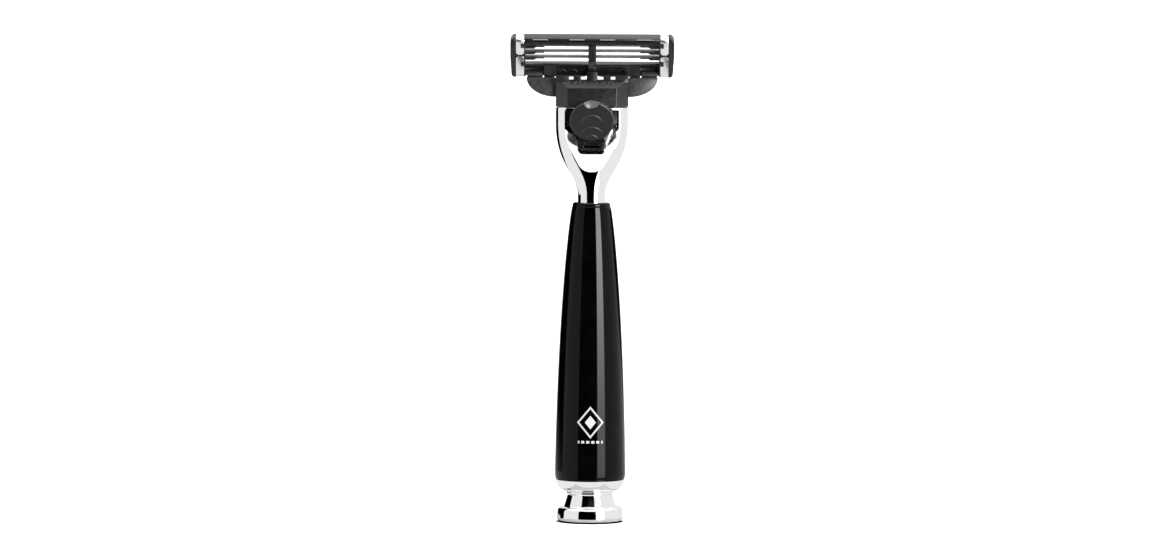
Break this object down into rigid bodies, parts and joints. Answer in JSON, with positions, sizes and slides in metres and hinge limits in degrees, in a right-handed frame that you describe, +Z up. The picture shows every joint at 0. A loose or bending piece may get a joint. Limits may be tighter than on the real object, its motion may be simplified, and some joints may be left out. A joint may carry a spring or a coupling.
{
  "type": "cartridge razor",
  "caption": "Upright cartridge razor: turned gloss resin grip on a chrome foot, chrome fork with a push-button dock, and a sprung pivoting blade unit.",
  "frame": {"origin": "centre of the foot's flat underside, on the handle's axis", "axes": "+Z up the handle from foot to head, +Y towards the blades' shaving side with the release button on -Y, X along the blades"},
  "size_m": [0.042, 0.0182, 0.1254],
  "materials": {
    "chrome_trim": "polished",
    "chrome_fork": "polished",
    "black_resin": "high gloss",
    "rod_steel": "turned",
    "module_plastic": "satin",
    "slide_plastic": "satin",
    "button_plastic": "satin",
    "plunger_plastic": "satin",
    "spring_steel": "drawn wire",
    "base_plastic": "fine moulded grain",
    "cover_plastic": "satin",
    "housing_plastic": "satin",
    "clip_aluminium": "bright rolled",
    "strip_polymer": "smooth",
    "guard_rubber": "matte",
    "blade_steel": "honed edge",
    "support_steel": "rolled"
  },
  "bodies": {
    "handle": {"foot": "chrome_trim", "collar": "chrome_trim", "grip": "black_resin", "tie_rod": "rod_steel", "fork": "chrome_fork", "docking_housing": "module_plastic", "plunger_spring": "spring_steel"},
    "release_button": {"release_button": "button_plastic", "ejector_slide": "slide_plastic"},
    "plunger": {"plunger": "plunger_plastic"},
    "connector": {"connector_base": "base_plastic", "connector_cover": "cover_plastic"},
    "blade_unit": {"blade_housing": "housing_plastic", "retaining_clip_left": "clip_aluminium", "retaining_clip_right": "clip_aluminium", "lubricating_strip": "strip_polymer", "guard_fins": "guard_rubber"},
    "blade_1": {"blade_1": "blade_steel", "blade_support_1": "support_steel"},
    "blade_2": {"blade_2": "blade_steel", "blade_support_2": "support_steel"},
    "blade_3": {"blade_3": "blade_steel", "blade_support_3": "support_steel"}
  },
  "joints": [
    {"name": "cartridge_release", "type": "slide", "parent": "handle", "child": "connector", "axis": [0, 0, 1], "range_m": [0, 0.014]},
    {"name": "cartridge_pivot", "type": "hinge", "parent": "connector", "child": "blade_unit", "pos_m": [0, 0.0022, 0.1163], "axis": [1, 0, 0], "range_deg": [0, 45], "stiffness_Nm_per_rad": 0.012, "springref_deg": -22.92},
    {"name": "plunger_travel", "type": "slide", "parent": "handle", "child": "plunger", "axis": [0, 0, 1], "range_m": [-0.0031, 0], "deforming": ["plunger_spring"]},
    {"name": "button_slide", "type": "slide", "parent": "handle", "child": "release_button", "axis": [0, 0, 1], "range_m": [0, 0.002], "stiffness_N_per_m": 100, "springref_m": -0.008, "deforming": ["plunger_spring"]},
    {"name": "blade_float_1", "type": "slide", "parent": "blade_unit", "child": "blade_1", "axis": [0, -0.9563, -0.2924], "range_m": [0, 0.00025], "stiffness_N_per_m": 100, "springref_m": -0.001},
    {"name": "blade_float_2", "type": "slide", "parent": "blade_unit", "child": "blade_2", "axis": [0, -0.9563, -0.2924], "range_m": [0, 0.00025], "stiffness_N_per_m": 100, "springref_m": -0.001},
    {"name": "blade_float_3", "type": "slide", "parent": "blade_unit", "child": "blade_3", "axis": [0, -0.9563, -0.2924], "range_m": [0, 0.00025], "stiffness_N_per_m": 100, "springref_m": -0.001}
  ],
  "couplings": [
    {"joint": "plunger_travel", "follows": "cartridge_pivot", "m_per_rad": -0.0038}
  ]
}
